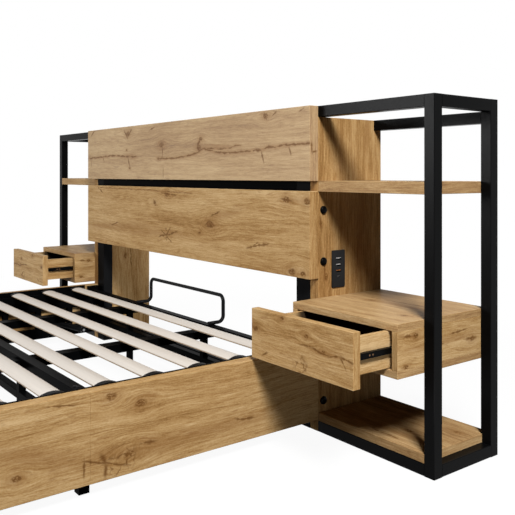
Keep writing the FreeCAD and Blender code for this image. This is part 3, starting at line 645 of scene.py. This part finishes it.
def headboard_wood():
    """Head panels and side panels, with marks where the photograph shows them."""
    dress(oak("oak_upper_panel", X, Z, 1.0, tone=0.04, end_tone=-0.08, painted_sheen=0.18, shine=0.10,
              knots=[((-0.352, 0.871), 0.010), ((-0.086, 0.818), 0.011), ((0.176, 0.830), 0.007),
                     ((0.165, 0.800), 0.009), ((0.528, 0.884), 0.008), ((-0.360, 0.807), 0.004),
                     ((-0.335, 0.736), 0.004), ((-0.109, 0.769), 0.005)],
              cracks=[((0.176, 0.829), (0.156, 0.805), 0.0076), ((0.156, 0.805), (0.167, 0.786), 0.0076),
                      ((0.507, 0.779), (0.519, 0.747), 0.0046), ((-0.352, 0.781), (-0.329, 0.734), 0.0044),
                      ((0.634, 0.786), (0.644, 0.766), 0.0044), ((-0.077, 0.807), (-0.082, 0.776), 0.0042),
                      ((-0.692, 0.768), (-0.689, 0.747), 0.0034), ((-0.573, 0.779), (-0.563, 0.762), 0.0034),
                      ((-0.692, 0.879), (-0.659, 0.893), 0.0040), ((-0.380, 0.885), (-0.352, 0.853), 0.0046),
                      ((-0.318, 0.887), (-0.352, 0.857), 0.0046), ((-0.172, 0.875), (-0.140, 0.885), 0.0038),
                      ((0.523, 0.893), (0.532, 0.873), 0.0050), ((0.560, 0.882), (0.579, 0.892), 0.0034),
                      ((0.680, 0.887), (0.699, 0.895), 0.0034), ((-0.073, 0.739), (-0.073, 0.699), 0.0022)],
              courses=[(0.0038, [(-0.73, 0.779), (-0.584, 0.784), (-0.472, 0.788), (-0.352, 0.781),
                                 (-0.276, 0.780)]),
                       (0.0039, [(-0.106, 0.769), (0.010, 0.768), (0.084, 0.774), (0.154, 0.783),
                                 (0.190, 0.797), (0.263, 0.784), (0.345, 0.779), (0.497, 0.783),
                                 (0.532, 0.789), (0.608, 0.794), (0.73, 0.796)]),
                       (0.0024, [(0.187, 0.799), (0.305, 0.792), (0.404, 0.802)])],
              end_cracks=[((0.80, 0.8735), (0.770, 0.8765), 0.0040),
                          ((0.770, 0.8765), (0.774, 0.893), 0.0040)],
              stains=[((0.165, 0.800), (0.360, 0.795), 0.012), ((-0.38, 0.79), (-0.28, 0.775), 0.012)]),
          "head_panel_upper")
    dress(oak("oak_lower_panel", X, Z, 2.3, tone=0.02, end_tone=-0.17,
              knots=[((0.231, 0.546), 0.014), ((0.624, 0.638), 0.010), ((0.714, 0.636), 0.010),
                     ((-0.047, 0.639), 0.009), ((-0.136, 0.607), 0.007), ((0.648, 0.436), 0.011),
                     ((0.695, 0.434), 0.008), ((0.169, 0.515), 0.005)],
              cracks=[((0.205, 0.544), (0.231, 0.560), 0.0040), ((0.231, 0.560), (0.257, 0.542), 0.0040),
                      ((0.257, 0.542), (0.212, 0.539), 0.0040), ((0.240, 0.575), (0.286, 0.591), 0.0040),
                      ((0.600, 0.641), (0.648, 0.636), 0.0050), ((-0.086, 0.644), (0.017, 0.637), 0.0034),
                      ((-0.142, 0.618), (-0.131, 0.596), 0.0036), ((-0.033, 0.517), (-0.051, 0.484), 0.0044),
                      ((-0.104, 0.483), (0.025, 0.508), 0.0044), ((-0.086, 0.508), (-0.051, 0.493), 0.0038),
                      ((-0.047, 0.491), (-0.015, 0.469), 0.0034), ((-0.494, 0.504), (-0.428, 0.520), 0.0034),
                      ((-0.623, 0.657), (-0.577, 0.635), 0.0040), ((0.435, 0.486), (0.542, 0.506), 0.0042),
                      ((0.465, 0.493), (0.492, 0.505), 0.0032)],
              courses=[(0.0016, [(-0.60, 0.656), (-0.20, 0.652), (0.12, 0.646)])],
              stars=[((-0.038, 0.497), 0.040)],
              stains=[((-0.72, 0.490), (-0.13, 0.517), 0.018), ((-0.336, 0.490), (0.084, 0.504), 0.014),
                      ((0.20, 0.560), (0.40, 0.600), 0.018), ((0.59, 0.639), (0.74, 0.637), 0.014),
                      ((0.60, 0.436), (0.73, 0.432), 0.012)]),
          "head_panel_lower")
    dress(oak("oak_side_panel_right", Z, Y, 3.7, tone=-0.10,
              knots=[((0.576, 0.909), 0.004), ((0.425, 0.928), 0.007), ((0.16, 1.02), 0.008)],
              cracks=[((0.560, 0.9085), (0.592, 0.9080), 0.0050), ((0.43, 0.925), (0.47, 0.922), 0.0030)],
              stains=[((0.70, 0.985), (0.88, 0.987), 0.010), ((0.78, 1.085), (0.88, 1.095), 0.012),
                      ((0.40, 1.065), (0.62, 1.060), 0.012), ((0.69, 1.035), (0.76, 1.036), 0.010)]),
          "side_panel_right")
    dress(oak("oak_side_panel_left", Z, Y, 5.1, tone=-0.02,
              knots=[((0.35, 1.03), 0.009), ((0.71, 0.96), 0.007)],
              cracks=[((0.30, 1.06), (0.40, 1.055), 0.0035)],
              stains=[((0.20, 0.97), (0.60, 0.975), 0.012), ((0.30, 1.10), (0.80, 1.095), 0.014)]),
          "side_panel_left")


def stand_wood():
    """Shelves and drawer cases of both nightstands, the marks of the left ones at other places."""
    for side, sign, seed in (("right", 1, 0.0), ("left", -1, 40.0)):
        shift = 0.0 if sign > 0 else 0.05
        dress(oak("oak_upper_shelf_" + side, X, Y, 6.2 + seed, tone=-0.10, painted_sheen=0.08,
                  knots=[((sign * 0.93, 0.98 + shift), 0.009)],
                  cracks=[((sign * 0.83, 0.905), (sign * 0.855, 0.915), 0.0040)]), "upper_shelf_" + side)
        # Painted shade: the lower shelf toned darker to even out how strongly the key light falls on its top
        dress(oak("oak_lower_shelf_" + side, X, Y, 7.9 + seed, tone=-0.04, painted_sheen=0.06, shine=0.0,
                  knots=[((sign * 0.97, 0.99 + shift), 0.009), ((sign * 1.05, 1.08 - shift), 0.007)],
                  cracks=[((sign * 0.90, 0.93), (sign * 0.99, 0.925), 0.0035)],
                  stains=[((sign * 0.80, 0.96), (sign * 1.05, 0.955), 0.014)]), "lower_shelf_" + side)
        # Painted shade: the case's top and bottom toned darker to even out how strongly the key light falls on
        # tops
        dress(oak("oak_case_panels_" + side, X, Y, 9.4 + seed, tone=-0.04, painted_sheen=0.06,
                  knots=[((sign * 0.838, 0.99 + shift), 0.008), ((sign * 1.03, 0.90), 0.007)],
                  cracks=[((sign * 0.80, 1.02), (sign * 1.00, 1.03), 0.0030)],
                  stains=[((sign * 0.82, 0.99), (sign * 1.06, 0.995), 0.014)]), "case_panels_" + side)
        # Painted light: the case's sides toned paler to even out how weakly the key light falls on them
        dress(oak("oak_case_sides_" + side, Y, Z, 11.6 + seed, tone=0.08,
                  knots=[((0.835, 0.268), 0.006), ((1.085, 0.299 - shift / 3), 0.007),
                         ((0.87, 0.335), 0.006)],
                  cracks=[((1.00, 0.319), (1.06, 0.327), 0.0032), ((0.82, 0.338), (0.86, 0.337), 0.0036),
                          ((1.06, 0.300), (1.10, 0.301), 0.0036), ((0.90, 0.300), (0.97, 0.302), 0.0026)],
                  stains=[((0.83, 0.305), (1.10, 0.312), 0.010)]), "case_sides_" + side)
        dress(oak("oak_drawer_front_" + side, X, Z, 13.3 + seed, tone=0.07, end_tone=-0.12,
                  knots=[((sign * 0.848, 0.362), 0.005), ((sign * 0.742, 0.320), 0.007),
                         ((sign * (0.936 + shift), 0.334), 0.005), ((sign * 0.995, 0.309), 0.004)],
                  cracks=[((sign * 0.915, 0.313), (sign * 0.956, 0.311), 0.0030),
                          ((sign * 0.956, 0.311), (sign * 1.012, 0.301), 0.0040),
                          ((sign * 1.012, 0.301), (sign * 1.049, 0.307), 0.0030),
                          ((sign * 1.049, 0.307), (sign * 1.092, 0.304), 0.0040),
                          ((sign * 1.049, 0.307), (sign * 1.066, 0.286), 0.0030),
                          ((sign * 0.770, 0.257), (sign * 0.792, 0.267), 0.0036)],
                  stars=[((sign * (0.916 + shift), 0.262), 0.034)],
                  stains=[((sign * 0.95, 0.308), (sign * 1.06, 0.306), 0.010)]), "drawer_front_" + side)
        # Painted shade: drawer walls darkened inside and drawer floors painted dark, for the shadow inside the
        # drawers
        dress(oak("oak_drawer_walls_" + side, Y, Z, 15.8 + seed, tone=0.05, shaded_inside="drawer_walls_" + side),
              "drawer_walls_" + side)
        dress(moulded("drawer_floor_painted_shade_" + side, DRAWER_PAINTED_SHADE[:3], roughness=0.6, specular=0.05),
              "drawer_floor_" + side)
        dress(oak("oak_case_back_" + side, X, Z, 18.5 + seed), "case_back_" + side)


def bed_wood():
    """Side rails and footboard, the right rail's marks where the photograph shows them."""
    dress(oak("oak_rail_right", Y, Z, 20.9,
              knots=[((0.276, 0.216), 0.009), ((0.350, 0.186), 0.010), ((0.065, 0.087), 0.008),
                     ((0.322, 0.076), 0.010), ((-0.42, 0.14), 0.010)],
              cracks=[((0.251, 0.092), (0.264, 0.067), 0.0075), ((0.264, 0.067), (0.262, 0.040), 0.0065),
                      ((0.211, 0.087), (0.313, 0.055), 0.0036), ((0.212, 0.089), (0.212, 0.053), 0.0036),
                      ((0.617, 0.095), (0.676, 0.084), 0.0040), ((0.129, 0.221), (0.192, 0.214), 0.0030),
                      ((0.350, 0.094), (0.388, 0.091), 0.0046), ((-0.80, 0.10), (-0.60, 0.11), 0.0036)],
              stars=[((0.300, 0.070), 0.050)],
              stains=[((0.00, 0.150), (0.22, 0.086), 0.024), ((0.20, 0.086), (0.50, 0.080), 0.022),
                      ((0.40, 0.082), (0.72, 0.086), 0.016)]), "side_rail_right")
    dress(oak("oak_rail_left", Y, Z, 23.1,
              knots=[((0.52, 0.12), 0.010), ((-0.10, 0.17), 0.009), ((-0.76, 0.08), 0.010)],
              cracks=[((0.30, 0.10), (0.55, 0.11), 0.0036), ((-0.5, 0.16), (-0.3, 0.15), 0.0036)],
              stains=[((-0.6, 0.12), (0.3, 0.11), 0.02)]), "side_rail_left")
    dress(oak("oak_footboard", X, Z, 25.7,
              knots=[((-0.38, 0.15), 0.011), ((0.22, 0.09), 0.009), ((0.55, 0.18), 0.008)],
              cracks=[((-0.36, 0.14), (0.05, 0.125), 0.0040), ((0.22, 0.09), (0.24, 0.13), 0.0040)],
              stars=[((0.23, 0.10), 0.05)], stains=[((-0.5, 0.14), (0.4, 0.10), 0.022)]), "footboard")


def other_finishes():
    """Steel, slats, plastic and rubber."""
    steel = powder_coat("black_powder_coat", STEEL_BLACK)
    for side in ("right", "left"):
        dress(steel, "stand_posts_" + side, "stand_rails_" + side)
    dress(powder_coat("head_post_coat", ROD_BLACK, shine=0.006), "head_post_right", "head_post_left")
    matt = powder_coat("matt_powder_coat", STEEL_BLACK, shine=0.004)
    dress(matt, "base_ladder_right", "base_ladder_left", "head_tie_rails", "platform_ledges",
          "base_cross_bars", "base_legs", "centre_supports", "hinge_brackets", "platform_side_tubes",
          "platform_cross_tubes", "platform_beams", "strut_bearing_plates")
    runner = powder_coat("runner_black", RUNNER_BLACK, grain_size=0.004)
    for side in ("right", "left"):
        dress(runner, "case_runners_" + side, "drawer_runners_" + side)
        dress(powder_coat("cylinder_paint_" + side, CYLINDER_BLACK, grain_size=0.003),
              "strut_cylinder_" + side)
        dress(bare_metal("polished_rod_" + side, POLISHED_STEEL, roughness=0.18, streak_axis=Y),
              "strut_rod_" + side)
    dress(powder_coat("bolt_black", BOLT_BLACK, grain_size=0.002), "panel_bolts")
    dress(bare_metal("zinc", ZINC, roughness=0.60), "hinge_pins", "strut_pivot_studs")
    dress(slat_wood(), "slats")
    dress(moulded("cap_plastic", CAP_PLASTIC, roughness=0.45, specular=0.04), "slat_caps")
    dress(moulded("charger_plastic", CHARGER_PLASTIC, roughness=0.40, specular=0.12), "charger_housing")
    dress(moulded("pad_rubber", PAD_RUBBER, roughness=0.80, specular=0.2), "rest_pads")
    dress(socket_plastic(), "charger_socket_tongues")


def socket_plastic():
    """White tongues in the upper sockets, an orange one below them and a grey one at the bottom."""
    graph = Graph("socket_plastic")
    place, _ = graph.coordinates()
    x, y, z = graph.split(place)
    low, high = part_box("charger_socket_tongues")
    rise = (z - low.z) / (high.z - low.z)
    grain = graph.noise(x * MOULD_GRAIN, y * MOULD_GRAIN, z * MOULD_GRAIN, 2.0)
    tint = graph.ramp(rise + (grain - 0.5) * 0.02, TONGUE_STOPS)
    return graph.finish(Base_Color=tint, Roughness=0.35 + grain * 0.2)


def spokes(count):
    """Angles around a full turn."""
    return [2 * math.pi * step / count for step in range(count)]


def skin(name, rings):
    """A closed mesh through rings of equal count, with its first and last ring filled."""
    mesh = bmesh.new()
    rows = [[mesh.verts.new(point) for point in ring] for ring in rings]
    count = len(rows[0])
    for lower, upper in zip(rows, rows[1:]):
        for number in range(count):
            after = (number + 1) % count
            mesh.faces.new((lower[number], lower[after], upper[after], upper[number]))
    mesh.faces.new(rows[0][::-1])
    mesh.faces.new(rows[-1])
    bmesh.ops.recalc_face_normals(mesh, faces=mesh.faces)
    data = bpy.data.meshes.new(name)
    mesh.to_mesh(data)
    mesh.free()
    return data


def piece(name, mesh, material, body):
    """A small piece that rides on a body."""
    made = bpy.data.objects.new(name, mesh)
    bpy.context.scene.collection.objects.link(made)
    mesh.materials.append(material)
    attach(made, body)
    return made


def retainer():
    """The mattress retainer as a smooth bent rod, where the model has flats."""
    low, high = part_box("mattress_retainer")
    radius = LOOP_ROD / 2
    half = high.x - radius
    behind = high.y - radius
    top = high.z - radius
    foot = low.z + radius
    corners = [(half, low.y, foot), (half, behind, foot), (half, behind, top), (-half, behind, top),
               (-half, behind, foot), (-half, low.y, foot)]
    corners = [Vector(corner) for corner in corners]
    path = [corners[0]]
    for before, corner, after in zip(corners, corners[1:], corners[2:]):
        to_before = (before - corner).normalized()
        to_after = (after - corner).normalized()
        centre = corner + (to_before + to_after) * LOOP_BEND
        for step in range(BEND_STEPS + 1):
            turn = math.pi / 2 * step / BEND_STEPS
            swing = to_after * math.cos(turn) + to_before * math.sin(turn)
            path.append(centre - swing * LOOP_BEND)
    path.append(corners[-1])
    rings = []
    side = Vector((1, 0, 0))
    for number, point in enumerate(path):
        ahead = path[min(number + 1, len(path) - 1)] - path[max(number - 1, 0)]
        ahead.normalize()
        side = (side - ahead * side.dot(ahead)).normalized()
        other = ahead.cross(side)
        rings.append([point + (side * math.cos(angle) + other * math.sin(angle)) * radius
                      for angle in spokes(ROD_SIDES)])
    mesh = skin("retainer_rod", rings)
    mesh.shade_smooth()
    black = powder_coat("retainer_black", ROD_BLACK, grain_size=0.003)
    made = piece("retainer_rod", mesh, black, "platform")
    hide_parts("mattress_retainer")


def screw_mesh(name, place, normal, radius, height):
    """A domed screw head with a hexagon socket, standing on a surface."""
    turn = Vector((0, 0, 1)).rotation_difference(Vector(normal)).to_matrix()
    angles = spokes(SCREW_SIDES)
    sixth = math.pi / 3
    flats = [math.cos(sixth / 2) / math.cos(angle % sixth - sixth / 2) for angle in angles]
    hexagon = [radius * HEXAGON_REACH * flat for flat in flats]

    def ring(reaches, rise):
        return [Vector(place) + turn @ Vector((reach * math.cos(angle), reach * math.sin(angle), rise))
                for angle, reach in zip(angles, reaches)]

    rings = [ring([radius * reach] * SCREW_SIDES, height * rise) for reach, rise in SCREW_PROFILE]
    return skin(name, rings + [ring(hexagon, height), ring(hexagon, height * HEXAGON_FLOOR)])


def bolt_caps():
    """Smooth domed heads over the panel bolts, where the model has low ones."""
    black = powder_coat("bolt_cap_black", BOLT_CAP_BLACK, grain_size=0.002)
    low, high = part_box("panel_bolts")
    middle = (low.y + high.y) / 2
    for side, sign, face in (("right", 1, high.x - BOLT_RISE), ("left", -1, low.x + BOLT_RISE)):
        for number, height in enumerate(BOLT_HEIGHTS):
            rings = [[(face + sign * CAP_RISE * rise, middle + CAP_RADIUS * reach * math.cos(angle),
                       height + CAP_RADIUS * reach * math.sin(angle)) for angle in spokes(SCREW_SIDES)]
                     for reach, rise in CAP_PROFILE]
            mesh = skin("bolt_cap", rings)
            mesh.shade_smooth()
            piece("bolt_cap_%s_%d" % (side, number), mesh, black, "frame")


def seam_bolts():
    """Two small bolts on top of the platform's first seam tube, near each end."""
    black = powder_coat("seam_bolt_black", SEAM_BOLT_BLACK, grain_size=0.002)
    for side, sign in (("right", 1), ("left", -1)):
        for number, (x, y) in enumerate(SEAM_BOLTS):
            place = (sign * x, y, SEAM_TOP)
            mesh = screw_mesh("seam_bolt", place, (0, 0, 1), SEAM_BOLT_RADIUS, SEAM_BOLT_RISE)
            piece("seam_bolt_%s_%d" % (side, number), mesh, black, "platform")


def runner_screws():
    """Two screws through each drawer runner, near the drawer front."""
    brass = bare_metal("screw_brass", BRASS, roughness=0.50)
    for side, sign in (("right", 1), ("left", -1)):
        low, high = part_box("drawer_runners_" + side)
        outer = high.x if sign > 0 else low.x
        inner = low.x if sign > 0 else high.x
        for number, back in enumerate(RUNNER_SCREWS):
            for face, way, label in ((outer, sign, "outer"), (inner, -sign, "inner")):
                place = (face, low.y + back, (low.z + high.z) / 2)
                mesh = screw_mesh("runner_screw", place, (way, 0, 0), RUNNER_SCREW_RADIUS,
                                  RUNNER_SCREW_RISE)
                title = "runner_screw_%s_%s_%d" % (side, label, number)
                piece(title, mesh, brass, side + "_drawer")


headboard_wood()
stand_wood()
bed_wood()
other_finishes()
retainer()
bolt_caps()
seam_bolts()
runner_screws()
camera()
studio()
